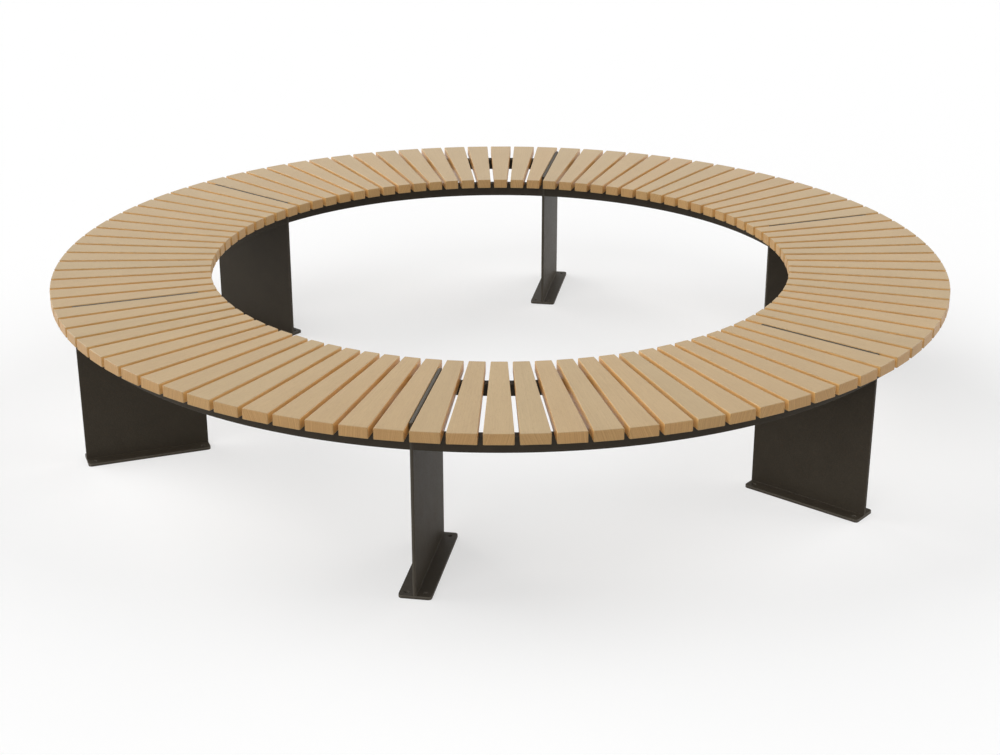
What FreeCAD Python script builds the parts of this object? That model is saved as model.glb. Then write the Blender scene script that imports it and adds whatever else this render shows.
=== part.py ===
import FreeCAD, Part
import math
import os

# Round bench that goes right round a tree, all lengths in millimetres.
# The seat is a flat ring of wooden slats, made as equal segments that meet at flat steel legs.
# The origin is on the ground under the middle of the ring, +Z is up and -Y is the front.

# Ring and seat
outer_radius = 1250.0
slat_length = 435.0
seat_height = 448.0
segment_count = 6
first_leg_angle = -90.0

# Wooden slats
slats_per_segment = 16
slat_thickness = 28.0
slat_edge_radius = 2.0
outer_overhang = 48.0
inner_overhang = 53.0

# Curved angle rails under the slats
rail_height = 40.0
rail_width = 25.0
rail_wall = 4.0
rail_root_radius = 3.0

# Legs and feet, flat plate on flat plate
leg_thickness = 8.0
leg_side_clearance = 2.0
leg_top_drop = 1.0
foot_width = 80.0
foot_thickness = 8.0
foot_corner_radius = 9.0
anchor_hole_diameter = 11.0
anchor_edge_side = 17.0
anchor_edge_end = 18.5

# Joint plates that close the ends of each pair of rails
joint_plate_thickness = 6.0
weld_gap = 0.3

# Bolts, washers and nuts through the joint plates and the leg
bolt_diameter = 10.0
bolt_hole_clearance = 1.0
bolt_end_distance = 52.0
bolt_head_flats = 1.6 * bolt_diameter
bolt_head_height = 0.64 * bolt_diameter
nut_height = 0.84 * bolt_diameter
washer_diameter = 2.0 * bolt_diameter
washer_thickness = 2.0
bolt_fit = 0.1
bolt_spare_thread = 3.6

# Screws that hold the slats from below
screw_diameter = 4.8
screw_head_diameter = 9.5
screw_head_height = 3.0
screw_head_round = 1.2
screw_hole_clearance = 0.7
pilot_clearance = 0.2
screw_cover = 8.0
screw_tip_room = 1.0

# Sizes that follow from the ones above
inner_radius = outer_radius - slat_length
slat_gap = leg_thickness + 2 * leg_side_clearance
segment_angle = 360.0 / segment_count
slat_pitch = segment_angle / slats_per_segment
rail_top = seat_height - slat_thickness
rail_bottom = rail_top - rail_height
leg_inner = inner_radius + inner_overhang
leg_outer = outer_radius - outer_overhang
leg_top = seat_height - leg_top_drop
leg_half = leg_thickness / 2
flange_middle = (rail_wall + rail_width) / 2
screw_radii = {"inner": leg_inner + flange_middle, "outer": leg_outer - flange_middle}
bolt_radii = [leg_inner + bolt_end_distance, leg_outer - bolt_end_distance]
joint_plate_top = rail_top - rail_wall - weld_gap
bolt_level = (rail_bottom + joint_plate_top) / 2
bolt_reach = leg_half + joint_plate_thickness

AXIS = FreeCAD.Vector(0, 0, 1)
CENTRE = FreeCAD.Vector(0, 0, 0)
ALONG_Y = FreeCAD.Vector(0, 1, 0)


def vec(x, y, z):
    return FreeCAD.Vector(x, y, z)


def turned(shape, degrees):
    """A copy of the shape, turned about the ring's axis."""
    copy = shape.copy()
    copy.rotate(CENTRE, AXIS, degrees)
    return copy


def slab(x_low, x_high, y_low, y_high, z_low, z_high):
    """A block between two corners, each side given by its two limits."""
    return Part.makeBox(x_high - x_low, y_high - y_low, z_high - z_low, vec(x_low, y_low, z_low))


def rod(diameter, length, base, direction=AXIS):
    return Part.makeCylinder(diameter / 2, length, base, direction)


def hexagon(flats, height, base, bore=0.0):
    """A hexagonal head or nut along +Y, with its flats this far apart."""
    corner = flats / math.sqrt(3)
    points = []
    for side in range(7):
        angle = math.radians(60.0 * side)
        points.append(base + vec(corner * math.cos(angle), 0, corner * math.sin(angle)))
    body = Part.Face(Part.makePolygon(points)).extrude(ALONG_Y * height)
    if bore:
        body = body.cut(rod(bore, height, base, ALONG_Y))
    return body


def slat():
    """One slat along +X. Its sides run parallel to the gaps, so it is narrower at the tree."""
    half_pitch = math.radians(slat_pitch / 2)
    inner_half = inner_radius * math.tan(half_pitch) - slat_gap / 2 / math.cos(half_pitch)
    outer_half = outer_radius * math.tan(half_pitch) - slat_gap / 2 / math.cos(half_pitch)
    corners = [
        vec(inner_radius, -inner_half, rail_top),
        vec(outer_radius, -outer_half, rail_top),
        vec(outer_radius, outer_half, rail_top),
        vec(inner_radius, inner_half, rail_top),
        vec(inner_radius, -inner_half, rail_top),
    ]
    board = Part.Face(Part.makePolygon(corners)).extrude(AXIS * slat_thickness)
    board = board.makeFillet(slat_edge_radius, board.Edges)
    depth = slat_thickness - screw_cover + screw_tip_room
    for radius in screw_radii.values():
        board = board.cut(rod(screw_diameter + pilot_clearance, depth, vec(radius, 0, rail_top)))
    return board


def slat_screw(radius):
    """A pan-head screw that comes up through the rail's flat flange into the slat."""
    under_flange = rail_top - rail_wall
    lowest = under_flange - screw_head_height
    head = rod(screw_head_diameter, screw_head_height, vec(radius, 0, lowest))
    rim = [edge for edge in head.Edges if edge.BoundBox.ZMax < lowest + screw_head_height / 2]
    head = head.makeFillet(screw_head_round, rim)
    shank_length = rail_wall + slat_thickness - screw_cover
    return head.fuse(rod(screw_diameter, shank_length, vec(radius, 0, under_flange))).removeSplitter()


def slat_angle(index):
    """Angle of a slat's middle line, counted from the leg at the start of its segment."""
    return slat_pitch * (index + 0.5)


def rail(face_radius, inward):
    """One curved angle rail from leg to leg. inward is 1 where its flat flange points to the tree."""
    def at(depth, level):
        return vec(face_radius - inward * depth, 0, level)

    root = rail_wall + rail_root_radius
    bend = rail_root_radius * (1 - math.sqrt(0.5))
    lines = [
        (at(rail_wall, rail_top - root), at(rail_wall, rail_bottom)),
        (at(rail_wall, rail_bottom), at(0, rail_bottom)),
        (at(0, rail_bottom), at(0, rail_top)),
        (at(0, rail_top), at(rail_width, rail_top)),
        (at(rail_width, rail_top), at(rail_width, rail_top - rail_wall)),
        (at(rail_width, rail_top - rail_wall), at(root, rail_top - rail_wall)),
    ]
    edges = [Part.LineSegment(start, end).toShape() for start, end in lines]
    root_middle = at(rail_wall + bend, rail_top - rail_wall - bend)
    edges.append(Part.Arc(lines[-1][1], root_middle, lines[0][0]).toShape())
    profile = Part.Face(Part.Wire(Part.__sortEdges__(edges)))
    bar = profile.revolve(CENTRE, AXIS, segment_angle)
    for end_angle in (0.0, segment_angle):
        leg_space = slab(0, outer_radius, -leg_half, leg_half, 0, leg_top)
        bar = bar.cut(turned(leg_space, end_angle))
    place = vec(face_radius - inward * flange_middle, 0, rail_top - rail_wall)
    hole = rod(screw_diameter + screw_hole_clearance, rail_wall, place)
    for index in range(slats_per_segment):
        bar = bar.cut(turned(hole, slat_angle(index)))
    return bar


def bolt_holes(body):
    """Cuts the joint's bolt holes through a plate that stands along +X."""
    for radius in bolt_radii:
        start = vec(radius, -bolt_reach, bolt_level)
        body = body.cut(rod(bolt_diameter + bolt_hole_clearance, 2 * bolt_reach, start, ALONG_Y))
    return body


def joint_plate(side):
    """The plate across the ends of the two rails, with its top corners cut to clear their roots.

    side is 1 at a segment's start and -1 at its end.
    """
    low, high = sorted((side * leg_half, side * bolt_reach))
    inside = rail_wall + weld_gap
    plate = slab(leg_inner + inside, leg_outer - inside, low, high, rail_bottom, joint_plate_top)
    across = [edge for edge in plate.Edges if edge.BoundBox.YLength > joint_plate_thickness / 2]
    corners = [edge for edge in across if edge.BoundBox.ZMin > bolt_level]
    return bolt_holes(plate.makeChamfer(rail_root_radius, corners))


def leg_plate():
    """A flat plate on edge, from the foot up through the joint to just under the seat's top."""
    plate = slab(leg_inner, leg_outer, -leg_half, leg_half, foot_thickness, leg_top)
    return bolt_holes(plate)


def anchor_places():
    """Centres of the four ground anchor holes of the foot along +X."""
    side = foot_width / 2 - anchor_edge_side
    ends = (leg_inner + anchor_edge_end, leg_outer - anchor_edge_end)
    return [vec(end, way * side, 0) for end in ends for way in (-1, 1)]


def foot_plate():
    """The flat foot under a leg, as long as the leg is wide, with four anchor holes."""
    plate = slab(leg_inner, leg_outer, -foot_width / 2, foot_width / 2, 0, foot_thickness)
    upright = [edge for edge in plate.Edges if edge.BoundBox.ZLength > foot_thickness / 2]
    plate = plate.makeFillet(foot_corner_radius, upright)
    for place in anchor_places():
        plate = plate.cut(rod(anchor_hole_diameter, foot_thickness, place))
    return plate


def joint_bolt(radius):
    """A hexagon bolt through both joint plates and the leg, with its head on the -Y side."""
    seat = -(bolt_reach + washer_thickness)
    head = hexagon(bolt_head_flats, bolt_head_height, vec(radius, seat - bolt_head_height, bolt_level))
    length = nut_height + bolt_spare_thread - 2 * seat
    return head.fuse(rod(bolt_diameter, length, vec(radius, seat, bolt_level), ALONG_Y))


def joint_washer(radius, start):
    """A flat washer round a bolt, from this Y place on."""
    place = vec(radius, start, bolt_level)
    washer = rod(washer_diameter, washer_thickness, place, ALONG_Y)
    return washer.cut(rod(bolt_diameter + bolt_hole_clearance, washer_thickness, place, ALONG_Y))


def joint_nut(radius):
    seat = vec(radius, bolt_reach + washer_thickness, bolt_level)
    return hexagon(bolt_head_flats, nut_height, seat, bolt_diameter + bolt_fit)


def save(name, solids):
    """Writes one node, a single solid or a group of separate ones."""
    solids = [solid for shape in solids for solid in shape.Solids]
    shape = solids[0] if len(solids) == 1 else Part.makeCompound(solids)
    for solid in solids:
        if not solid.isValid() or solid.Volume <= 0:
            raise ValueError(name + " has a bad solid")
    shape.exportStep("parts/" + name + ".step")
    print(name, len(solids), "solids", round(sum(solid.Volume for solid in solids) / 1000, 1), "cm3")


def main():
    os.makedirs("parts", exist_ok=True)
    one_slat = slat()
    rails = {"outer": rail(leg_outer, 1), "inner": rail(leg_inner, -1)}
    plates = {"start": joint_plate(1), "end": joint_plate(-1)}
    plate_turn = {"start": 0.0, "end": segment_angle}
    half = slats_per_segment // 2
    leg, foot = leg_plate(), foot_plate()
    starts = [first_leg_angle + segment_angle * index for index in range(segment_count)]

    for number, start in enumerate(starts, 1):
        save(f"leg_plate_{number}", [turned(leg, start)])
        save(f"foot_plate_{number}", [turned(foot, start)])
        for place, bar in rails.items():
            save(f"{place}_rail_{number}", [turned(bar, start)])
        for place, plate in plates.items():
            save(f"joint_plate_{number}_{place}", [turned(plate, start + plate_turn[place])])
        for letter, first, last in (("a", 0, half), ("b", half, slats_per_segment)):
            boards = [turned(one_slat, start + slat_angle(index)) for index in range(first, last)]
            save(f"seat_slats_{number}{letter}", boards)

    slat_angles = [start + slat_angle(index) for start in starts for index in range(slats_per_segment)]
    for place, radius in screw_radii.items():
        screw = slat_screw(radius)
        save(f"slat_screws_{place}", [turned(screw, angle) for angle in slat_angles])

    washer_starts = (-(bolt_reach + washer_thickness), bolt_reach)
    bolts = [joint_bolt(radius) for radius in bolt_radii]
    nuts = [joint_nut(radius) for radius in bolt_radii]
    washers = [joint_washer(radius, start) for radius in bolt_radii for start in washer_starts]
    for name, group in (("joint_bolts", bolts), ("joint_nuts", nuts), ("joint_washers", washers)):
        save(name, [turned(piece, start) for start in starts for piece in group])


main()
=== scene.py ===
# %% [markdown]
# A round bench that stands in a ring round a tree
#
# The seat is a flat ring of 96 tapered wooden slats. Two curved steel angles carry them, and the
# angles are bolted to six flat steel legs, each with a foot that lies on the ground. The sizes come
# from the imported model, which this script loads first and never moves. Every visible piece is then
# made again with the small roundings, welds and finishes that a construction model leaves out.

# %% The frame and its size
import math

import bpy
import numpy as np
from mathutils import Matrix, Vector
from mathutils.geometry import tessellate_polygon


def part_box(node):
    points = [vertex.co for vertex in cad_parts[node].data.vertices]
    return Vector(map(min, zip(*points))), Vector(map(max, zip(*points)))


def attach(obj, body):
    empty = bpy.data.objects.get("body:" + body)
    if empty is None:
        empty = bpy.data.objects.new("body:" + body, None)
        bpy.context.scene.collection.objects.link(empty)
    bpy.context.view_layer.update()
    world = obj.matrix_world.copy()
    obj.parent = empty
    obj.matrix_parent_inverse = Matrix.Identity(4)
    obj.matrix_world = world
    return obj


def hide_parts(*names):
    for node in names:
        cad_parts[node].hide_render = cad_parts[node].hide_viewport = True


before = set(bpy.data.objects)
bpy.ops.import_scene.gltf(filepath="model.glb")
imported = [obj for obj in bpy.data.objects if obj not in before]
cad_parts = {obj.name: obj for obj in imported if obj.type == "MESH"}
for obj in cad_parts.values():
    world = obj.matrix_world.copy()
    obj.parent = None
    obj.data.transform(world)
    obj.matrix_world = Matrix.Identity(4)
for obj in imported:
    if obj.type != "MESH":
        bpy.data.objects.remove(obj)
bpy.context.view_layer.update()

# %% [markdown]
# Reading the sizes from the frame
#
# Leg 4 stands on the +Y side, so its box gives the legs' reach along Y and their thickness along X.
# A slat's ends are square to its own middle line, so its reach is measured along that line.

# %% Sizes of the ring
SEGMENTS = 6
SLATS_IN_SEGMENT = 16
FIRST_LEG = -90.0
SEGMENT = 360.0 / SEGMENTS
PITCH = SEGMENT / SLATS_IN_SEGMENT
leg_starts = [FIRST_LEG + SEGMENT * number for number in range(SEGMENTS)]


def node_points(name):
    """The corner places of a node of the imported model, as rows of x, y and z."""
    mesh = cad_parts[name].data
    flat = np.empty(len(mesh.vertices) * 3, np.float32)
    mesh.vertices.foreach_get("co", flat)
    return flat.reshape(-1, 3).astype(float)


def slat_reach(name):
    """Least and greatest distance from the ring's axis, measured along the slat's own middle line."""
    x, y, z = node_points(name).T
    off_middle = (np.degrees(np.arctan2(y, x)) - FIRST_LEG) % PITCH - PITCH / 2
    along = np.hypot(x, y) * np.cos(np.radians(off_middle))
    return along.min(), along.max()


ring_inner, ring_outer = slat_reach("seat_slats_1a")
slat_low, seat_top = (corner.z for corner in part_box("seat_slats_1a"))
leg_box, foot_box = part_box("leg_plate_4"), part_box("foot_plate_4")
rail_low, rail_top = (corner.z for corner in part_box("outer_rail_1"))
plate_low, plate_top = (corner.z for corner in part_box("joint_plate_1_start"))
leg_inner, leg_outer = leg_box[0].y, leg_box[1].y
leg_half = leg_box[1].x
foot_half, foot_top = foot_box[1].x, foot_box[1].z
print("slats reach from", round(ring_inner, 4), "to", round(ring_outer, 4), "m")
print("legs reach from", round(leg_inner, 4), "to", round(leg_outer, 4), "m")
print("the seat's top is at", round(seat_top, 4), "m")

# %% [markdown]
# Shader maths as expressions
#
# A procedural finish is mostly arithmetic on noise. Wrapping a socket in a small class lets that
# arithmetic be written as it is on paper: a sum of two sockets adds a Math node. Every other node
# comes from one method, which first sets what kind of node it is and then its inputs.


# %% The socket and shader classes
class Socket:
    """One output of a node, on which ordinary arithmetic adds Math nodes."""

    def __init__(self, shader, output):
        self.shader, self.output = shader, output

    def maths(self, operation, *values):
        return self.shader.node("ShaderNodeMath", {"operation": operation}, values)

    def __add__(self, other):
        return self.maths("ADD", self, other)

    __radd__ = __add__

    def __sub__(self, other):
        return self.maths("SUBTRACT", self, other)

    def __rsub__(self, other):
        return self.maths("SUBTRACT", other, self)

    def __mul__(self, other):
        return self.maths("MULTIPLY", self, other)

    __rmul__ = __mul__

    def __abs__(self):
        return self.maths("ABSOLUTE", self)

    def larger(self, other):
        return self.maths("MAXIMUM", self, other)

    def between(self, low, high):
        """0 below low, 1 above high and smooth between them."""
        inputs = {"Value": self, "From Min": low, "From Max": high}
        return self.shader.node("ShaderNodeMapRange", {"interpolation_type": "SMOOTHSTEP"}, inputs)


class Shader:
    """A material built from code: constants go on the shader's own sockets, patterns through nodes."""

    def __init__(self, name, **constants):
        self.material = bpy.data.materials.new(name)
        self.material.use_nodes = True
        self.tree = self.material.node_tree
        self.surface = self.tree.nodes["Principled BSDF"]
        for socket, value in constants.items():
            self.surface.inputs[socket.replace("_", " ")].default_value = value

    def node(self, kind, settings=None, inputs=(), output=0):
        """Adds a node: its settings are set first, then each input gets its value or link."""
        made = self.tree.nodes.new(kind)
        for name, value in (settings or {}).items():
            setattr(made, name, value)
        for name, value in inputs.items() if isinstance(inputs, dict) else enumerate(inputs):
            if isinstance(value, Socket):
                self.tree.links.new(value.output, made.inputs[name])
            else:
                made.inputs[name].default_value = value
        return Socket(self, made.outputs[output])

    def attribute(self, name):
        return self.node("ShaderNodeAttribute", {"attribute_name": name}, output="Vector")

    def place(self):
        return self.node("ShaderNodeTexCoord", output="Object")

    def parts(self, vector):
        """The X, Y and Z of a vector as three sockets."""
        split = self.node("ShaderNodeSeparateXYZ", inputs=[vector]).output.node
        return [Socket(self, output) for output in split.outputs]

    def stretched(self, vector, *scale):
        return self.node("ShaderNodeVectorMath", {"operation": "MULTIPLY"}, [vector, scale])

    def noise(self, vector, scale=1.0, detail=2.0, roughness=0.5):
        inputs = {"Vector": vector, "Scale": scale, "Detail": detail, "Roughness": roughness}
        return self.node("ShaderNodeTexNoise", inputs=inputs)

    def mix(self, factor, first, second):
        return self.node("ShaderNodeMix", {"data_type": "RGBA"}, {0: factor, 6: first, 7: second}, output=2)

    def toned(self, colour, tone):
        """A colour times another, channel by channel."""
        return self.node("ShaderNodeVectorMath", {"operation": "MULTIPLY"}, [colour, tone])

    def brightened(self, colour, factor):
        """A colour times a number, through Vector Math, so that it stays a colour."""
        inputs = {"Vector": colour, "Scale": factor}
        return self.node("ShaderNodeVectorMath", {"operation": "SCALE"}, inputs)

    def bump(self, height, distance):
        return self.node("ShaderNodeBump", inputs={"Height": height, "Distance": distance})

    def drive(self, **links):
        for socket, value in links.items():
            self.tree.links.new(value.output, self.surface.inputs[socket.replace("_", " ")])
        return self.material


# %% [markdown]
# The slats' wood
#
# A light, straight-grained hardwood, planed smooth and oiled. A picture of wood would repeat on all
# 96 slats and stretch at their ends. Here the wood is solid instead: each slat carries its own
# coordinates, along, across and up, shifted to another part of the same endless timber. Growth rings
# are sheets that stand nearly upright, so the top shows long streaks and the end shows upright lines,
# fibres are noise drawn out along the slat, and pores are the highest places of a finer noise.
#
# The sides and ends were sawn. The ends take up more oil than the planed top and are a shade deeper,
# so they get a tone of their own. The sides get a lighter, warmer colour instead: painted light that
# stands in for the glow of light bouncing between the slats in the gaps.
# The rounded edges are rougher, and their colour is darkened as painted shade, which keeps a bright line off
# them.

# %% The wood material
MILLIMETRE = 0.001
WOOD_LIGHT = (0.482, 0.341, 0.166, 1.0)
WOOD_DARK = (0.395, 0.268, 0.120, 1.0)
WOOD_PORE = (0.235, 0.138, 0.055, 1.0)
WARM_BOARD = (1.03, 0.97, 0.90)
# Painted light: how much lighter and warmer the sides are made, for the glow of light bouncing in the gaps.
SIDE_PAINTED_GLOW = (1.46, 1.30, 1.06)
OILED_END = (1.07, 0.905, 0.70)
# Painted shade: how much darker the rounded edges are made, so that the lamps light no bright line on them.
ARRIS_PAINTED_SHADE = 0.14
WOOD_RELIEF = 0.08 * MILLIMETRE

# How much of a surface's direction runs along an axis where it starts to count as that face, and
# where it fully does.
FACING = (0.6, 0.95)
PAST_ARRIS = (0.80, 0.99)

# How fast each pattern changes along, across and up through the timber, in noise steps a metre.
SWAY_GRAIN = (2.2, 9.0, 9.0)
CLOUD_GRAIN = (7.0, 16.0, 16.0)
FIBRE_GRAIN = (30.0, 420.0, 420.0)
THREAD_GRAIN = (60.0, 2300.0, 2300.0)
PORE_GRAIN = (75.0, 1500.0, 1500.0)
PORE_LEVELS = (0.63, 0.75)
RING_GRAIN = 260.0
RING_SWAY = 14.0 * MILLIMETRE


def make_wood():
    """Colour runs from dark to light wood by a sum of noises, each less its middle value of a half."""
    wood = Shader("oiled_slat_wood", IOR=1.6)
    grain = wood.attribute("grain")
    across, up = wood.parts(grain)[1:]
    lightness, warmth, lean = wood.parts(wood.attribute("board"))
    looks_along, looks_across, looks_up = (abs(part) for part in wood.parts(wood.attribute("face")))
    end = looks_along.between(*FACING)
    side = looks_across.between(*FACING)
    arris = 1.0 - looks_along.larger(looks_across).larger(looks_up).between(*PAST_ARRIS)

    sway = wood.noise(wood.stretched(grain, *SWAY_GRAIN), detail=1.0) - 0.5
    ring_place = (across + lean * up + sway * RING_SWAY) * RING_GRAIN
    ring_inputs = {"W": ring_place, "Scale": 1.0, "Detail": 2.0, "Roughness": 0.6}
    rings = wood.node("ShaderNodeTexNoise", {"noise_dimensions": "1D"}, ring_inputs) - 0.5
    clouds = wood.noise(wood.stretched(grain, *CLOUD_GRAIN), detail=2.0) - 0.5
    fibres = wood.noise(wood.stretched(grain, *FIBRE_GRAIN), detail=4.0, roughness=0.65) - 0.5
    threads = wood.noise(wood.stretched(grain, *THREAD_GRAIN), detail=1.0) - 0.5
    pores = wood.noise(wood.stretched(grain, *PORE_GRAIN), detail=1.0).between(*PORE_LEVELS)

    streaks = 0.5 + rings * (0.8 + 2.0 * end) + clouds * 0.8 + fibres * 1.5 + threads * 0.8
    colour = wood.mix(streaks, WOOD_DARK, WOOD_LIGHT)
    colour = wood.mix(pores * 0.5, colour, WOOD_PORE)
    colour = wood.mix(warmth, colour, wood.toned(colour, WARM_BOARD))
    # Painted light: the sides are made lighter and warmer, as if lit by light bouncing between the slats.
    colour = wood.mix(side, colour, wood.toned(colour, SIDE_PAINTED_GLOW))
    colour = wood.mix(end, colour, wood.toned(colour, OILED_END))
    # Painted shade on the rounded edges, which takes the lamps' bright line off them.
    colour = wood.brightened(colour, lightness * (1.0 - ARRIS_PAINTED_SHADE * arris))

    roughness = 0.38 + 0.14 * fibres + 0.08 * end + 0.10 * pores + 0.15 * arris
    height = fibres * 0.6 + threads * 0.3 + rings * 0.3 - pores * 0.5
    return wood.drive(Base_Color=colour, Roughness=roughness, Normal=wood.bump(height, WOOD_RELIEF))


slat_wood = make_wood()
print("made", slat_wood.name, "with", len(slat_wood.node_tree.nodes), "nodes")

# %% [markdown]
# The steel's powder coat
#
# Powder is sprayed on dry and melted in an oven, which leaves a skin with a fine orange peel and a
# faint sparkle of coarser grains. Two noises make it: one with swells of a few millimetres for the
# peel, and a finer one for the grains. A third, much broader, keeps large faces from looking even.
# The coat pulls thin on sharp edges, so the arrises are a little lighter.

# %% The powder coat material
COAT = (0.048, 0.0395, 0.0285, 1.0)
COAT_GRAIN = (0.078, 0.065, 0.049, 1.0)
COAT_EDGE = (0.132, 0.118, 0.098, 1.0)
COAT_RELIEF = 0.45 * MILLIMETRE


def make_powder_coat():
    """Colour, roughness and height all follow the same noises, so that they agree."""
    coat = Shader("bronze_powder_coat", Specular_IOR_Level=0.11)
    place = coat.place()
    arris = coat.parts(coat.attribute("arris"))[0]
    peel = coat.noise(place, scale=200.0, detail=3.0) - 0.5
    grains = coat.noise(place, scale=1500.0, detail=1.0) - 0.5
    cloud = coat.noise(place, scale=14.0, detail=4.0, roughness=0.65) - 0.5
    sparkle = grains.between(0.06, 0.22)
    colour = coat.mix(sparkle * 0.7, COAT, COAT_GRAIN)
    colour = coat.mix(arris * (0.6 + grains), colour, COAT_EDGE)
    colour = coat.brightened(colour, 1.0 + 0.35 * cloud + 0.25 * peel)
    roughness = 0.50 + 0.20 * peel + 0.16 * cloud - 0.08 * sparkle
    normal = coat.bump(peel * 0.8 + grains * 0.2, COAT_RELIEF)
    return coat.drive(Base_Color=colour, Roughness=roughness, Normal=normal)


powder_coat = make_powder_coat()
print("made", powder_coat.name, "with", len(powder_coat.node_tree.nodes), "nodes")

# %% [markdown]
# The fasteners' steel
#
# Stainless screws and bolts are turned and rolled bright, then tumbled, which leaves them slightly
# uneven. Metal gets its colour from what it reflects, so the pattern goes mostly into its roughness.

# %% The fastener material
STEEL = (0.50, 0.49, 0.47, 1.0)
STEEL_DULL = (0.36, 0.35, 0.335, 1.0)
STEEL_RELIEF = 0.02 * MILLIMETRE


def make_fastener_steel():
    """Dull patches are darker and rougher. Scuffs roughen all of it and give it its relief."""
    steel = Shader("tumbled_stainless_steel", Metallic=1.0)
    place = steel.place()
    scuffs = steel.noise(place, scale=900.0, detail=2.0)
    dull = steel.noise(place, scale=140.0, detail=3.0).between(0.45, 0.7)
    colour = steel.mix(dull, STEEL, STEEL_DULL)
    roughness = 0.26 + 0.16 * dull + 0.10 * scuffs
    return steel.drive(Base_Color=colour, Roughness=roughness, Normal=steel.bump(scuffs, STEEL_RELIEF))


fastener_steel = make_fastener_steel()
FINISHES = {"slat_wood": slat_wood, "frame_powder_coat": powder_coat, "fastener_steel": fastener_steel}
print("the finishes are for the slots", ", ".join(FINISHES))

# %% [markdown]
# Putting a surface into Blender
#
# Every piece below is worked out as whole arrays: places, faces and the exact direction in which the
# surface looks at each corner. Handing over those directions keeps flat faces flat in the light right
# up to a tiny rounding, which smooth shading alone would smear.


# %% Making a piece from arrays
# A degree less than a chamfer turns, or a step of a washer's arris, so that rounding never decides.
SHARP_EDGE = 29.0


def enclosed(points, faces):
    """The volume inside closed faces: the sum of the wedges from the origin to each face's triangles."""
    total = 0.0
    for part in faces:
        for corner in range(1, part.shape[1] - 1):
            first, second, third = (points[part[:, place]] for place in (0, corner, corner + 1))
            total += (first * np.cross(second, third)).sum() / 6
    return total


def join(shells):
    """One set of points and faces from several."""
    starts = np.cumsum([0] + [len(points) for points, faces in shells])
    faces = [part + start for (points, shell_faces), start in zip(shells, starts) for part in shell_faces]
    return np.concatenate([points for points, shell_faces in shells]), faces


def make_piece(name, points, normals, faces, slot, replaced=(), attributes=None):
    """Puts a closed surface into a mesh. faces is a list of arrays, each of faces with as many corners.
    Without normals, edges that turn by more than SHARP_EDGE degrees are sharp and the rest smooth."""
    if enclosed(points, faces) < 0:
        faces = [part[:, ::-1] for part in faces]
    mesh = bpy.data.meshes.new(name)
    mesh.from_pydata(points, [], [row for part in faces for row in part.tolist()])
    mesh.shade_smooth()
    if normals is None:
        mesh.set_sharp_from_angle(angle=math.radians(SHARP_EDGE))
    else:
        mesh.normals_split_custom_set_from_vertices(normals)
    for key, values in (attributes or {}).items():
        layer = mesh.attributes.new(key, "FLOAT_VECTOR", "POINT")
        layer.data.foreach_set("vector", np.ascontiguousarray(values, np.float32).ravel())
    mesh.materials.append(FINISHES[slot])
    piece = bpy.data.objects.new(name, mesh)
    bpy.context.scene.collection.objects.link(piece)
    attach(piece, "root")
    if replaced:
        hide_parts(*replaced)


def turned(rows, degrees):
    """Places or directions turned about the ring's axis."""
    turn = np.radians(degrees)
    spin = np.array([[np.cos(turn), -np.sin(turn), 0], [np.sin(turn), np.cos(turn), 0], [0, 0, 1]])
    return rows @ spin.T


# %% [markdown]
# The slats
#
# A slat is a tapered board whose sides run parallel to the gaps beside it. It could be a cube with a
# Bevel modifier, but a rounded box has a simple formula: keep the nearest point of a smaller inner box,
# and step out from it by the edge radius. The steps' directions are the surface normals, so the light
# falls right without any modifier.

# %% The skin of a rounded box
EDGE_ANGLES = np.radians([0.0, 22.5, 45.0])


def box_skin(counts):
    """Whole-number places on the skin of a box of so many lines each way, and quads between them."""
    quads = []
    for axis in range(3):
        u, v = (axis + 1) % 3, (axis + 2) % 3
        first, second = np.meshgrid(np.arange(counts[u] - 1), np.arange(counts[v] - 1), indexing="ij")
        corners = np.zeros((*first.shape, 4, 3), int)
        for number, (step_u, step_v) in enumerate(((0, 0), (1, 0), (1, 1), (0, 1))):
            corners[..., number, u] = first + step_u
            corners[..., number, v] = second + step_v
        for side in (0, counts[axis] - 1):
            face = corners.copy()
            face[..., axis] = side
            quads.append((face if side else face[..., ::-1, :]).reshape(-1, 4, 3))
    places, index = np.unique(np.concatenate(quads).reshape(-1, 3), axis=0, return_inverse=True)
    return places, index.reshape(-1, 4)


def edge_lines(inner_lines):
    """Lines across a rounded box: where each lies on the inner box, and how far it leans out of it."""
    lean = np.tan(EDGE_ANGLES)
    core = np.concatenate([-np.ones(len(lean)), inner_lines, np.ones(len(lean))])
    return core, np.concatenate([-lean[::-1], np.zeros(len(inner_lines)), lean])


# %% One slat after another
SLAT_EDGE = 2.0 * MILLIMETRE
SLAT_GAP = 12.0 * MILLIMETRE
TIMBER_SPREAD = 9.0
LIGHTNESS_SPREAD = 0.018
WARMEST = 0.8
RING_LEAN = 0.5
slat_random = np.random.default_rng(96)
along_lines, single_line = edge_lines(np.linspace(-0.8, 0.8, 5)), edge_lines(np.array([0.0]))
slat_lines = [along_lines, single_line, single_line]
slat_places, slat_quads = box_skin([len(core) for core, lean in slat_lines])


def slat_half_width(along):
    """Half the width at a distance from the axis: half the pitch's spread, less half the gap."""
    half = math.radians(PITCH / 2)
    return along * math.tan(half) - SLAT_GAP / 2 / math.cos(half)


def slat_surface():
    """Inner-box place plus edge radius times the unit direction of the lean, along, across and up."""
    core = np.stack([slat_lines[axis][0][slat_places[:, axis]] for axis in range(3)], axis=1)
    lean = np.stack([slat_lines[axis][1][slat_places[:, axis]] for axis in range(3)], axis=1)
    normal = lean / np.linalg.norm(lean, axis=1, keepdims=True)
    along = (ring_inner + ring_outer) / 2 + core[:, 0] * ((ring_outer - ring_inner) / 2 - SLAT_EDGE)
    across = core[:, 1] * (slat_half_width(along) - SLAT_EDGE)
    up = (slat_low + seat_top) / 2 + core[:, 2] * ((seat_top - slat_low) / 2 - SLAT_EDGE)
    return np.stack([along, across, up], axis=1) + SLAT_EDGE * normal, normal


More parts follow.
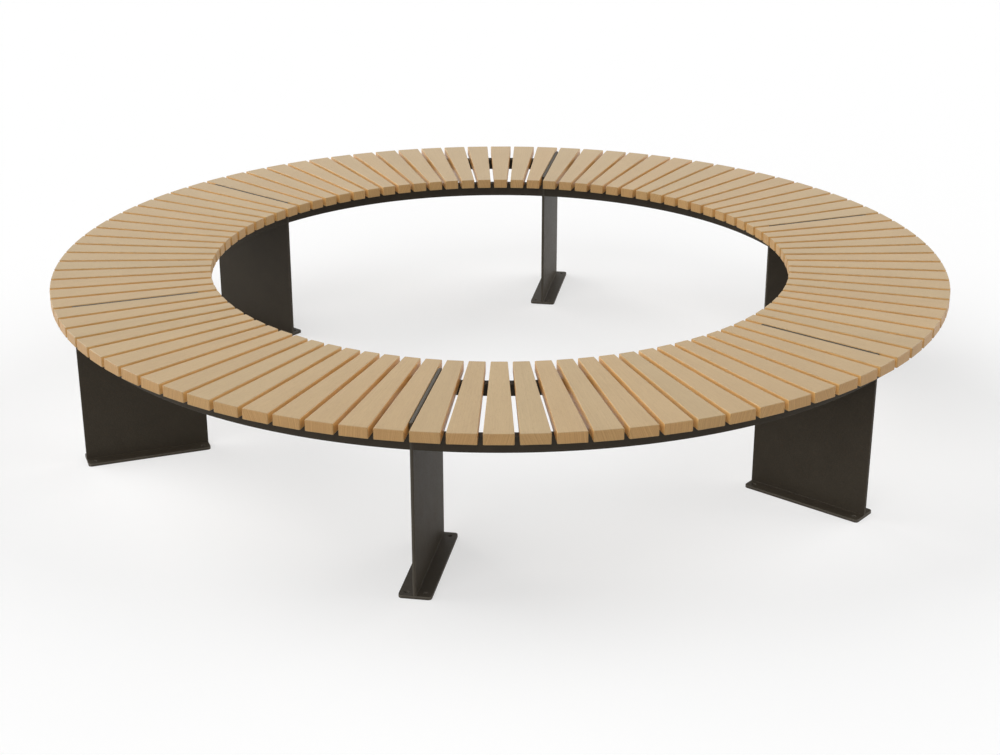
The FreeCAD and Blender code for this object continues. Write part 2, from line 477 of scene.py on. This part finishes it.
slat_points, slat_normals = slat_surface()
slat_middle = np.array([(ring_inner + ring_outer) / 2, 0.0, (slat_low + seat_top) / 2])
for segment, start in enumerate(leg_starts, 1):
    for index in range(SLATS_IN_SEGMENT):
        angle = start + PITCH * (index + 0.5)
        half = "a" if index < SLATS_IN_SEGMENT // 2 else "b"
        shift = slat_random.uniform(-TIMBER_SPREAD, TIMBER_SPREAD, 3)
        lightness = slat_random.normal(1.0, LIGHTNESS_SPREAD)
        warmth = slat_random.uniform(0, WARMEST)
        lean = slat_random.uniform(-RING_LEAN, RING_LEAN)
        attributes = {
            "grain": slat_points - slat_middle + shift,
            "board": np.tile([lightness, warmth, lean], (len(slat_points), 1)),
            "face": slat_normals,
        }
        make_piece(f"slat_{segment}_{index + 1:02d}", turned(slat_points, angle), turned(slat_normals, angle),
                   [slat_quads], "slat_wood", [f"seat_slats_{segment}{half}"], attributes)
end_widths = [round(2 * slat_half_width(reach) / MILLIMETRE, 1) for reach in (ring_inner, ring_outer)]
print(SEGMENTS * SLATS_IN_SEGMENT, "slats of", len(slat_quads), "faces, end widths", end_widths, "mm")

# %% [markdown]
# Flat plates with rounded arrises
#
# The legs, feet and joint plates are cut from flat steel. Their outlines are described by arcs alone:
# each point is a centre, a reach and the direction in which the edge looks. Moving the outline in by
# some distance is then only a shorter reach, and a hole is an arc with a negative reach. Stacking the
# outline with growing and shrinking insets gives the thickness with its soft arrises.

# %% Outlines made of arcs
ARC_STEPS = 7
ARRIS_ANGLES = np.radians([0, 30, 60, 90])
ARRIS_FALL = 0.12


def arc(centre, reach, first, last, steps=ARC_STEPS):
    """Points round a centre between two angles, as rows of centre x, centre y, reach, look x, look y."""
    angles = np.radians(np.linspace(first, last, steps))
    rows = np.empty((steps, 5))
    rows[:, :2], rows[:, 2] = centre, reach
    rows[:, 3], rows[:, 4] = np.cos(angles), np.sin(angles)
    return rows


def rectangle(low, high, corners):
    """A rectangle with one corner radius each, from its low corner round to the left."""
    (x_low, y_low), (x_high, y_high) = low, high
    places = ((x_low, y_low, 1, 1, 180), (x_high, y_low, -1, 1, 270),
              (x_high, y_high, -1, -1, 0), (x_low, y_high, 1, -1, 90))
    turns = [arc((x + way_x * size, y + way_y * size), size, first, first + 90)
             for (x, y, way_x, way_y, first), size in zip(places, corners)]
    return np.concatenate(turns)


def round_hole(x, y, radius, steps=24):
    """A hole's edge looks at its centre, so its reach is negative. It runs the other way round."""
    return arc((x, y), -radius, 0, -360 + 360 / steps, steps)


def outline_places(loop, inset):
    """Where the outline runs when it is moved in: centre plus reach less inset, along its look."""
    return loop[:, :2] + (loop[:, 2:3] - inset) * loop[:, 3:]


# %% Walls and caps
def walls_between(ring_count, lengths):
    """Quads that join each point of a closed loop to the next one and to the two above them. Every
    ring holds the same loops, one after another, of the given lengths."""
    starts = np.cumsum([0, *lengths])
    here = np.arange(starts[-1])
    after = [start + (np.arange(length) + 1) % length for start, length in zip(starts, lengths)]
    after = np.concatenate(after)
    low = np.arange(ring_count - 1)[:, None] * starts[-1]
    high = low + starts[-1]
    return np.stack([low + here, low + after, high + after, high + here], axis=2).reshape(-1, 4)


def flat_cap(outlines):
    """Triangles inside the first outline and outside the others, all turned counter-clockwise."""
    caps = np.array(tessellate_polygon([[Vector((*place, 0)) for place in flat] for flat in outlines]))
    first, second, third = np.concatenate(outlines)[caps.T]
    clockwise = np.cross(second - first, third - first) < 0
    caps[clockwise] = caps[clockwise][:, ::-1]
    return caps


def plate(loops, thickness, arris):
    """A plate from height 0 to its thickness: outlines stacked with an inset of arris times (1 - sine)
    at a height of arris times (1 - cosine), and flat caps that keep the holes open."""
    lean = np.concatenate([ARRIS_ANGLES, np.pi - ARRIS_ANGLES[::-1]])
    inset = arris * (1 - np.sin(lean))
    height = np.where(lean <= np.pi / 2, 0, thickness - 2 * arris) + arris * (1 - np.cos(lean))
    count = sum(len(loop) for loop in loops)
    points, normals = [], []
    for ring in range(len(lean)):
        flat = np.concatenate([outline_places(loop, inset[ring]) for loop in loops])
        look = np.concatenate([loop[:, 3:] for loop in loops])
        points.append(np.c_[flat, np.full(count, height[ring])])
        normals.append(np.c_[look * np.sin(lean[ring]), np.full(count, -np.cos(lean[ring]))])
    walls = walls_between(len(lean), [len(loop) for loop in loops])
    cap = flat_cap([outline_places(loop, arris) for loop in loops])
    last = (len(lean) - 1) * count
    return np.concatenate(points), np.concatenate(normals), [walls, cap[:, ::-1], cap + last]


def stood(shell, origin, *axes):
    """A shell moved so that its own x, y and z run along the given directions from the origin."""
    points, normals, faces = shell
    axes = np.array(axes, float)
    return points @ axes + np.array(origin), normals @ axes, faces


def arris_marks(flatness):
    """The attribute for the coat: 0 where a surface looks straight along an axis, 1 on a rounding."""
    return {"arris": np.tile(np.clip((1 - flatness) / ARRIS_FALL, 0, 1)[:, None], (1, 3))}


# %% [markdown]
# Legs and feet
#
# A leg is one flat plate on edge that rises between two slats to the seat's top, where its edge shows
# as a grey line. Its foot is as long as the leg is wide, with rounded corners and four holes for
# ground anchors, which stay empty.

# %% Legs, feet and joint plates
ALONG, ACROSS, UP, BACK = (1, 0, 0), (0, 1, 0), (0, 0, 1), (0, -1, 0)
STEEL_ARRIS = 0.7 * MILLIMETRE
LEG_CORNER = 1.2 * MILLIMETRE
FOOT_CORNER = 9.0 * MILLIMETRE
PLATE_CORNER = 3.0 * MILLIMETRE
ANCHOR_RADIUS = 5.5 * MILLIMETRE
ANCHOR_SIDE = 17.0 * MILLIMETRE
ANCHOR_END = 18.5 * MILLIMETRE
BOLT_HOLE = 5.5 * MILLIMETRE
BOLT_END = 52.0 * MILLIMETRE
RAIL_WALL = 4.0 * MILLIMETRE
RAIL_WIDTH = 25.0 * MILLIMETRE
WELD_GAP = 0.3 * MILLIMETRE
PLATE_THICKNESS = 6.0 * MILLIMETRE
bolt_radii = [leg_inner + BOLT_END, leg_outer - BOLT_END]
bolt_level = (plate_low + plate_top) / 2
bolt_holes = [round_hole(radius, bolt_level, BOLT_HOLE) for radius in bolt_radii]

leg_outline = rectangle((leg_inner, foot_top), (leg_outer, leg_box[1].z), [LEG_CORNER] * 4)
leg_plate = plate([leg_outline, *bolt_holes], 2 * leg_half, STEEL_ARRIS)
leg_shell = stood(leg_plate, (0, leg_half, 0), ALONG, UP, BACK)

foot_outline = rectangle((leg_inner, -foot_half), (leg_outer, foot_half), [FOOT_CORNER] * 4)
anchor_holes = [round_hole(x, y, ANCHOR_RADIUS)
                for x in (leg_inner + ANCHOR_END, leg_outer - ANCHOR_END)
                for y in (ANCHOR_SIDE - foot_half, foot_half - ANCHOR_SIDE)]
foot_shell = plate([foot_outline, *anchor_holes], foot_top, STEEL_ARRIS)

plate_reach = (leg_inner + RAIL_WALL + WELD_GAP, leg_outer - RAIL_WALL - WELD_GAP)
joint_corners = [LEG_CORNER, LEG_CORNER, PLATE_CORNER, PLATE_CORNER]
joint_outline = rectangle((plate_reach[0], plate_low), (plate_reach[1], plate_top), joint_corners)
joint_plate = plate([joint_outline, *bolt_holes], PLATE_THICKNESS, STEEL_ARRIS)
joint_shells = {
    "start": (stood(joint_plate, (0, leg_half + PLATE_THICKNESS, 0), ALONG, UP, BACK), 0.0),
    "end": (stood(joint_plate, (0, -leg_half, 0), ALONG, UP, BACK), SEGMENT),
}


def steel_piece(name, shell, angle, replaced):
    """A coated plate. Its faces lie along the axes, so its roundings look along none of them."""
    points, normals, faces = shell
    make_piece(name, turned(points, angle), turned(normals, angle), faces, "frame_powder_coat",
               replaced, arris_marks(np.abs(normals).max(axis=1)))


for number, start in enumerate(leg_starts, 1):
    steel_piece(f"leg_{number}", leg_shell, start, [f"leg_plate_{number}"])
    steel_piece(f"foot_{number}", foot_shell, start, [f"foot_plate_{number}"])
    for place, (shell, turn) in joint_shells.items():
        steel_piece(f"joint_{number}_{place}", shell, start + turn, [f"joint_plate_{number}_{place}"])
print("a leg has", sum(map(len, leg_shell[2])), "faces and a foot", sum(map(len, foot_shell[2])))

# %% [markdown]
# The curved angle rails
#
# Each rail is an angle section rolled to a curve. Its outline uses the same arcs as the plates: small
# ones at the heel and toes, and one with a negative reach for the root. It is carried along the curve,
# and each end is cut flat against the leg rather than square to the curve, so the angle at which a
# point stops depends on its distance from the axis.

# %% Rails
HEEL = 2.0 * MILLIMETRE
TOE = 1.0 * MILLIMETRE
ROOT = 3.0 * MILLIMETRE
RAIL_STEPS = 48


def rail_outline():
    """The angle section: x is the depth behind its upright face, y the level above its lowest edge."""
    height = rail_top - rail_low
    return np.concatenate([
        arc((TOE, TOE), TOE, 180, 270, 3),
        arc((RAIL_WALL - TOE, TOE), TOE, 270, 360, 3),
        arc((RAIL_WALL + ROOT, height - RAIL_WALL - ROOT), -ROOT, 0, -90, 5),
        arc((RAIL_WIDTH - TOE, height - RAIL_WALL + TOE), TOE, 270, 360, 3),
        arc((RAIL_WIDTH - TOE, height - TOE), TOE, 0, 90, 3),
        arc((HEEL, height - HEEL), HEEL, 90, 180, 5),
    ])


def rail_shell(face_radius, inward):
    """The outline carried round the ring, from the leg's one face to the next leg's face."""
    loop = rail_outline()
    flat = outline_places(loop, 0.0)
    radius = face_radius - inward * flat[:, 0]
    stop = np.arcsin(leg_half / radius)
    share = np.linspace(0, 1, RAIL_STEPS + 1)[:, None]
    angle = stop * (1 - share) + (math.radians(SEGMENT) - stop) * share
    look = -inward * loop[:, 3]
    level = np.broadcast_to(rail_low + flat[:, 1], angle.shape)
    points = np.stack([radius * np.cos(angle), radius * np.sin(angle), level], axis=2)
    upward = np.broadcast_to(loop[:, 4], angle.shape)
    normals = np.stack([look * np.cos(angle), look * np.sin(angle), upward], axis=2)
    walls = walls_between(RAIL_STEPS + 1, [len(loop)])
    cap = flat_cap([flat])
    last = RAIL_STEPS * len(loop)
    return points.reshape(-1, 3), normals.reshape(-1, 3), [walls, cap[:, ::-1], cap + last]


def rail_flatness(normals):
    """1 where a rail looks up, down or level, and less on the roundings between."""
    upright = np.minimum(np.abs(normals[:, 2]), 1)
    return np.maximum(upright, np.sqrt(1 - upright ** 2))


rail_shells = {"outer": rail_shell(leg_outer, 1), "inner": rail_shell(leg_inner, -1)}
for number, start in enumerate(leg_starts, 1):
    for place, (points, normals, faces) in rail_shells.items():
        make_piece(f"rail_{number}_{place}", turned(points, start), turned(normals, start), faces,
                   "frame_powder_coat", [f"{place}_rail_{number}"], arris_marks(rail_flatness(normals)))
print("a rail has", sum(map(len, rail_shells["outer"][2])), "faces")

# %% [markdown]
# Turned and hexagonal fasteners
#
# Screws, bolts and nuts are all rings stacked along an axis. A ring is round, or hexagonal with its
# reach divided by the cosine of the angle to the nearest flat. The chamfer that takes the corners off
# a hexagon is a cone, so its edge lies lower the further a point is from the axis.

# %% Stacked rings
CHAMFER_SLOPE = math.tan(math.radians(30))
CHAMFER_CIRCLE = 0.97


def stacked(rings):
    """Closed surface through rings of equal length, each an array of places. Every wall's face joins
    two neighbours on a ring to the two above them, and one flat face closes each end."""
    steps = len(rings[0])
    end = np.arange(steps)[None]
    walls = walls_between(len(rings), [steps])
    return np.concatenate(rings), [walls, end[:, ::-1], end + (len(rings) - 1) * steps]


def circle(radius, height, steps):
    """Places round the axis at one height."""
    turn = np.arange(steps) * 2 * np.pi / steps
    return np.stack([radius * np.cos(turn), radius * np.sin(turn), np.full(steps, height)], axis=1)


def hexagon(half_flats, height, steps, chamfer=0.0):
    """A hexagon whose corners fall away from its height where a chamfer cone cuts them: the fall is
    the distance beyond the cone's own circle times the cone's slope."""
    turn = np.arange(steps) * 2 * np.pi / steps
    reach = half_flats / np.cos((turn + np.pi / 6) % (np.pi / 3) - np.pi / 6)
    fall = chamfer * (reach - CHAMFER_CIRCLE * half_flats)
    return np.stack([reach * np.cos(turn), reach * np.sin(turn), height - fall], axis=1)


# %% [markdown]
# Screws through the rails
#
# One pan-head screw goes up through each rail into each slat. There are 192 of them, so each has
# fewer than 200 faces. Its rings have 24 points, so neighbouring walls differ by 15 degrees and shade
# smooth, and every fourth point of the hexagonal recess lies on a corner.

# %% Slat screws
SCREW_RADIUS = 2.4 * MILLIMETRE
SCREW_HEAD = 4.75 * MILLIMETRE
SCREW_HEAD_HEIGHT = 3.0 * MILLIMETRE
SCREW_HEAD_ROUND = 1.2 * MILLIMETRE
SCREW_RECESS = 1.5 * MILLIMETRE
SCREW_RECESS_DEPTH = 1.4 * MILLIMETRE
SCREW_COVER = 8.0 * MILLIMETRE
SCREW_STEPS = 24
flange_under = rail_top - RAIL_WALL
flange_middle = (RAIL_WALL + RAIL_WIDTH) / 2
screw_reach = {"inner": leg_inner + flange_middle, "outer": leg_outer - flange_middle}


def screw_shell():
    """A screw from its recess in the head, round the head and up the shank to the point."""
    foot = flange_under - SCREW_HEAD_HEIGHT
    tip = seat_top - SCREW_COVER
    return stacked([
        hexagon(SCREW_RECESS, foot + SCREW_RECESS_DEPTH, SCREW_STEPS),
        hexagon(SCREW_RECESS, foot, SCREW_STEPS),
        circle(SCREW_HEAD - SCREW_HEAD_ROUND, foot, SCREW_STEPS),
        circle(SCREW_HEAD, foot + SCREW_HEAD_ROUND, SCREW_STEPS),
        circle(SCREW_HEAD, flange_under, SCREW_STEPS),
        circle(SCREW_RADIUS, flange_under, SCREW_STEPS),
        circle(SCREW_RADIUS, tip, SCREW_STEPS),
    ])


screw_points, screw_faces = screw_shell()
for number, start in enumerate(leg_starts, 1):
    for place, reach in screw_reach.items():
        angles = start + PITCH * (np.arange(SLATS_IN_SEGMENT) + 0.5)
        row = [(turned(screw_points + (reach, 0, 0), angle), screw_faces) for angle in angles]
        points, faces = join(row)
        make_piece(f"screws_{number}_{place}", points, None, faces, "fastener_steel",
                   [f"slat_screws_{place}"])
print("a screw has", sum(map(len, screw_faces)), "faces")

# %% [markdown]
# Bolts, nuts and washers through the legs
#
# Two bolts at each leg clamp the end plates of two segments against the leg between them. The washers
# are punched, so they use the plates' outline of arcs. The bolt's end stands about two turns of thread
# proud of its nut.

# %% Joint bolts
BOLT_RADIUS = 5.0 * MILLIMETRE
BOLT_HALF_FLATS = 8.0 * MILLIMETRE
BOLT_HEAD = 6.4 * MILLIMETRE
NUT_HEIGHT = 8.4 * MILLIMETRE
WASHER_RADIUS = 10.0 * MILLIMETRE
WASHER_THICKNESS = 2.0 * MILLIMETRE
SPARE_THREAD = 3.6 * MILLIMETRE
THREAD_PITCH = 1.5 * MILLIMETRE
THREAD_DEPTH = 0.45 * MILLIMETRE
THREAD_END = 0.8 * MILLIMETRE
THREAD_END_STEPS = (0.2 * MILLIMETRE, 1.0 * MILLIMETRE)
WASHER_ARRIS = 0.3 * MILLIMETRE
HEX_STEPS = 36
chamfer_circle = CHAMFER_CIRCLE * BOLT_HALF_FLATS
washer_face = leg_half + PLATE_THICKNESS + WASHER_THICKNESS
bolt_end = washer_face + NUT_HEIGHT + SPARE_THREAD


def bolt_shell():
    """Head, shank and the thread's crests and roots, up along the bolt."""
    head = -washer_face - BOLT_HEAD
    levels = np.arange(washer_face + NUT_HEIGHT, bolt_end - THREAD_PITCH / 2, THREAD_PITCH / 2)
    radii = [BOLT_RADIUS - THREAD_DEPTH * (turn % 2) for turn in range(len(levels))]
    return stacked([
        circle(chamfer_circle, head, HEX_STEPS),
        hexagon(BOLT_HALF_FLATS, head, HEX_STEPS, -CHAMFER_SLOPE),
        hexagon(BOLT_HALF_FLATS, -washer_face, HEX_STEPS),
        circle(BOLT_RADIUS, -washer_face, HEX_STEPS),
        *[circle(radius, level, HEX_STEPS) for radius, level in zip(radii, levels)],
        circle(BOLT_RADIUS - THREAD_END_STEPS[0], bolt_end - THREAD_END, HEX_STEPS),
        circle(BOLT_RADIUS - THREAD_END_STEPS[1], bolt_end, HEX_STEPS),
    ])


def nut_shell():
    """A hexagon chamfered at both ends. Its bore is filled by the bolt."""
    low, high = washer_face, washer_face + NUT_HEIGHT
    return stacked([
        circle(chamfer_circle, low, HEX_STEPS),
        hexagon(BOLT_HALF_FLATS, low, HEX_STEPS, -CHAMFER_SLOPE),
        hexagon(BOLT_HALF_FLATS, high, HEX_STEPS, CHAMFER_SLOPE),
        circle(chamfer_circle, high, HEX_STEPS),
    ])


def washer_shells():
    """The washers under a bolt's head and under its nut."""
    rim = arc((0, 0), WASHER_RADIUS, 0, 360 - 360 / HEX_STEPS, HEX_STEPS)
    loops = [rim, round_hole(0, 0, BOLT_RADIUS, HEX_STEPS)]
    points, normals, faces = plate(loops, WASHER_THICKNESS, WASHER_ARRIS)
    return join([(points + (0, 0, low), faces) for low in (-washer_face, washer_face - WASHER_THICKNESS)])


hardware = {"bolts": bolt_shell(), "nuts": nut_shell(), "washers": washer_shells()}
for number, start in enumerate(leg_starts, 1):
    for name, (shell_points, shell_faces) in hardware.items():
        across_leg = shell_points @ np.array([UP, ALONG, ACROSS], float)
        pair = [(turned(across_leg + (radius, 0, bolt_level), start), shell_faces) for radius in bolt_radii]
        points, faces = join(pair)
        make_piece(f"{name}_{number}", points, None, faces, "fastener_steel", [f"joint_{name}"])
print("a bolt has", sum(map(len, hardware["bolts"][1])), "faces")

# %% [markdown]
# Weld beads
#
# The legs are welded to their feet, and the end plates to their rails, before the coat goes on. A bead
# this fine fills the corner between two plates with a slightly hollow face, and has small ripples
# where the melt froze step by step. It is drawn as one closed section carried along the corner. The
# photograph shows no bead at the feet, so those are finer still than the ones under the seat.

# %% Welds
FOOT_WELD = 1.2 * MILLIMETRE
BRACKET_WELD = 2.5 * MILLIMETRE
WELD_ROOT = 0.4 * MILLIMETRE
WELD_RIPPLE = 2.0 * MILLIMETRE
RIPPLE_STEPS = 4
RIPPLE_FULLNESS = 0.6
WELD_HOLLOW = 2.5
WELD_SWELL = 0.10
WELD_END = 0.35
FOOT_WELD_END = 4.0 * MILLIMETRE
BRACKET_WELD_END = 2.0 * MILLIMETRE


def weld(ends, one_plate, other_plate, full_size):
    """Section points are size times cosine and sine of an angle, each to a power a little over two,
    along the two plates. The size swells and dips along the bead and runs out at its ends."""
    first, last, one_plate, other_plate = (np.array(row, float) for row in (*ends, one_plate, other_plate))
    length = np.linalg.norm(last - first)
    travel = np.linspace(0, length, RIPPLE_STEPS * max(2, round(length / WELD_RIPPLE)) + 1)
    ripple = np.abs(np.sin(np.pi * travel / WELD_RIPPLE)) ** RIPPLE_FULLNESS
    run_out = np.sqrt(np.clip(np.minimum(travel, length - travel) / full_size, 0, 1))
    size = full_size * (1 - WELD_SWELL * (1 - ripple)) * (WELD_END + (1 - WELD_END) * run_out)
    lean = np.radians(np.linspace(0, 90, 6))[:, None]
    face = np.cos(lean) ** WELD_HOLLOW * one_plate + np.sin(lean) ** WELD_HOLLOW * other_plate
    root = -WELD_ROOT * (one_plate + other_plate)
    step = (last - first) / length
    sections = [np.concatenate([[root], width * face]) for width in size]
    return stacked([section + first + step * way for section, way in zip(sections, travel)])


def leg_welds():
    """Beads along both sides of a foot, and two in the corners of each end plate and rail."""
    beads = []
    foot_ends = (leg_inner + FOOT_WELD_END, leg_outer - FOOT_WELD_END)
    levels = (plate_low + BRACKET_WELD_END, flange_under - BRACKET_WELD_END)
    reaches = (ROOT + BRACKET_WELD_END, RAIL_WIDTH - RAIL_WALL - BRACKET_WELD_END)
    for side in (-1, 1):
        away, bracket_face = (0, side, 0), side * (leg_half + PLATE_THICKNESS)
        beads.append(weld([(x, side * leg_half, foot_top) for x in foot_ends], away, UP, FOOT_WELD))
        for upright, inward in ((leg_outer - RAIL_WALL, -1), (leg_inner + RAIL_WALL, 1)):
            up_the_rail = [(upright, bracket_face, level) for level in levels]
            beads.append(weld(up_the_rail, (inward, 0, 0), away, BRACKET_WELD))
            under_the_flange = [(upright + inward * reach, bracket_face, flange_under) for reach in reaches]
            beads.append(weld(under_the_flange, (0, 0, -1), away, BRACKET_WELD))
    return join(beads)


weld_points, weld_faces = leg_welds()
for number, start in enumerate(leg_starts, 1):
    make_piece(f"welds_{number}", turned(weld_points, start), None, weld_faces, "frame_powder_coat")
print("the welds of a leg have", sum(map(len, weld_faces)), "faces")

# %% [markdown]
# Floor and light
#
# The bench stands on a plain white floor in an even room, with three broad soft lamps far away. The
# room and the lamps together light a level surface at 1, so colours come out about as they are
# written. To the camera the floor adds some light of its own: where nothing shades it, it is the
# background's white, and the bench's soft shadow stays. A gloss sees it as nearly white paint. It is
# grey for all other light, so that it throws no more up at the bench than the photograph shows.

# %% Floor
FLOOR_HALF = 60.0
FLOOR_BOUNCE = 0.50
FLOOR_SEEN = 0.47
FLOOR_MIRRORED = 0.95


def make_floor():
    """A wide level square, whose shade depends on who looks: camera, gloss or any other light."""
    paint = Shader("floor_white", Roughness=0.9, Specular_IOR_Level=0.0, Emission_Color=(1, 1, 1, 1))
    camera, glossy, clear = (paint.node("ShaderNodeLightPath", output=f"Is {kind} Ray")
                             for kind in ("Camera", "Glossy", "Transmission"))
    mirrored = (FLOOR_MIRRORED - FLOOR_BOUNCE) * glossy.larger(clear)
    shade = FLOOR_BOUNCE + mirrored + (FLOOR_SEEN - FLOOR_BOUNCE) * camera
    colour = paint.brightened((1.0, 1.0, 1.0), shade)
    paint.drive(Base_Color=colour, Emission_Strength=camera * (1 - FLOOR_SEEN))
    mesh = bpy.data.meshes.new("floor")
    ends = (-FLOOR_HALF, FLOOR_HALF)
    mesh.from_pydata([(x, y, 0) for x in ends for y in ends], [], [(0, 2, 3, 1)])
    mesh.materials.append(paint.material)
    floor = bpy.data.objects.new("floor", mesh)
    bpy.context.scene.collection.objects.link(floor)


make_floor()

# %% Room light and lamps
ROOM = 0.17
BACKGROUND = 1.0


def make_room():
    """An even room light. The camera and mirror-like reflections see it as the white background."""
    world = bpy.data.worlds.new("studio")
    world.use_nodes = True
    tree = world.node_tree
    background = tree.nodes["Background"]
    background.inputs["Color"].default_value = (1, 1, 1, 1)
    rays = tree.nodes.new("ShaderNodeLightPath")
    total = rays.outputs["Is Camera Ray"]
    for kind in ("Is Glossy Ray", "Is Transmission Ray"):
        larger = tree.nodes.new("ShaderNodeMath")
        larger.operation = "MAXIMUM"
        tree.links.new(total, larger.inputs[0])
        tree.links.new(rays.outputs[kind], larger.inputs[1])
        total = larger.outputs[0]
    strength = tree.nodes.new("ShaderNodeMapRange")
    strength.inputs["To Min"].default_value = ROOM
    strength.inputs["To Max"].default_value = BACKGROUND
    tree.links.new(total, strength.inputs["Value"])
    tree.links.new(strength.outputs["Result"], background.inputs["Strength"])
    bpy.context.scene.world = world


def soft_lamp(name, toward, spread, share):
    """A broad far lamp. It adds share to the light on a level surface, so its power is share times pi
    over the sine of its height."""
    direction = Vector(toward).normalized()
    lamp = bpy.data.lights.new(name, "SUN")
    lamp.angle, lamp.energy = math.radians(spread), share * math.pi / direction.z
    holder = bpy.data.objects.new(name, lamp)
    holder.rotation_euler = direction.to_track_quat("Z", "Y").to_euler()
    bpy.context.scene.collection.objects.link(holder)


make_room()
LAMP_SPREAD = 60.0
LAMPS = {
    "left": ((-0.966, 0.259, 0.50), 0.34),
    "right": ((0.866, 0.500, 0.50), 0.24),
    "front": ((-0.260, -0.966, 0.64), 0.25),
}
for name, (toward, share) in LAMPS.items():
    soft_lamp(name, toward, LAMP_SPREAD, share)
print("light on a level surface", round(ROOM + sum(share for toward, share in LAMPS.values()), 3))

# %% [markdown]
# The camera
#
# The photograph's camera was worked out from the ring's outlines: it stands about 4.8 m from the
# middle and 2 m above the ground, turned a little to the right of leg 1, and looks down at 22 degrees.

# %% Camera
CAMERA_AZIMUTH = 9.5
CAMERA_DISTANCE = 4.763
CAMERA_HEIGHT = 2.000
CAMERA_DOWN = 21.99
CAMERA_LENS = 63.06
CAMERA_SENSOR = 36.0
CAMERA_SEES = 200.0


def make_camera():
    """Stands at its azimuth, counted from -Y towards +X, and looks down at the ring's axis."""
    turn = math.radians(CAMERA_AZIMUTH)
    camera = bpy.data.cameras.new("camera")
    camera.lens, camera.sensor_width, camera.clip_end = CAMERA_LENS, CAMERA_SENSOR, CAMERA_SEES
    holder = bpy.data.objects.new("camera", camera)
    holder.location = (CAMERA_DISTANCE * math.sin(turn), -CAMERA_DISTANCE * math.cos(turn), CAMERA_HEIGHT)
    holder.rotation_euler = (math.radians(90 - CAMERA_DOWN), 0, turn)
    bpy.context.scene.collection.objects.link(holder)
    bpy.context.scene.camera = holder
    print("camera at", [round(value, 3) for value in holder.location])


make_camera()
bpy.context.scene.view_settings.view_transform = "Standard"
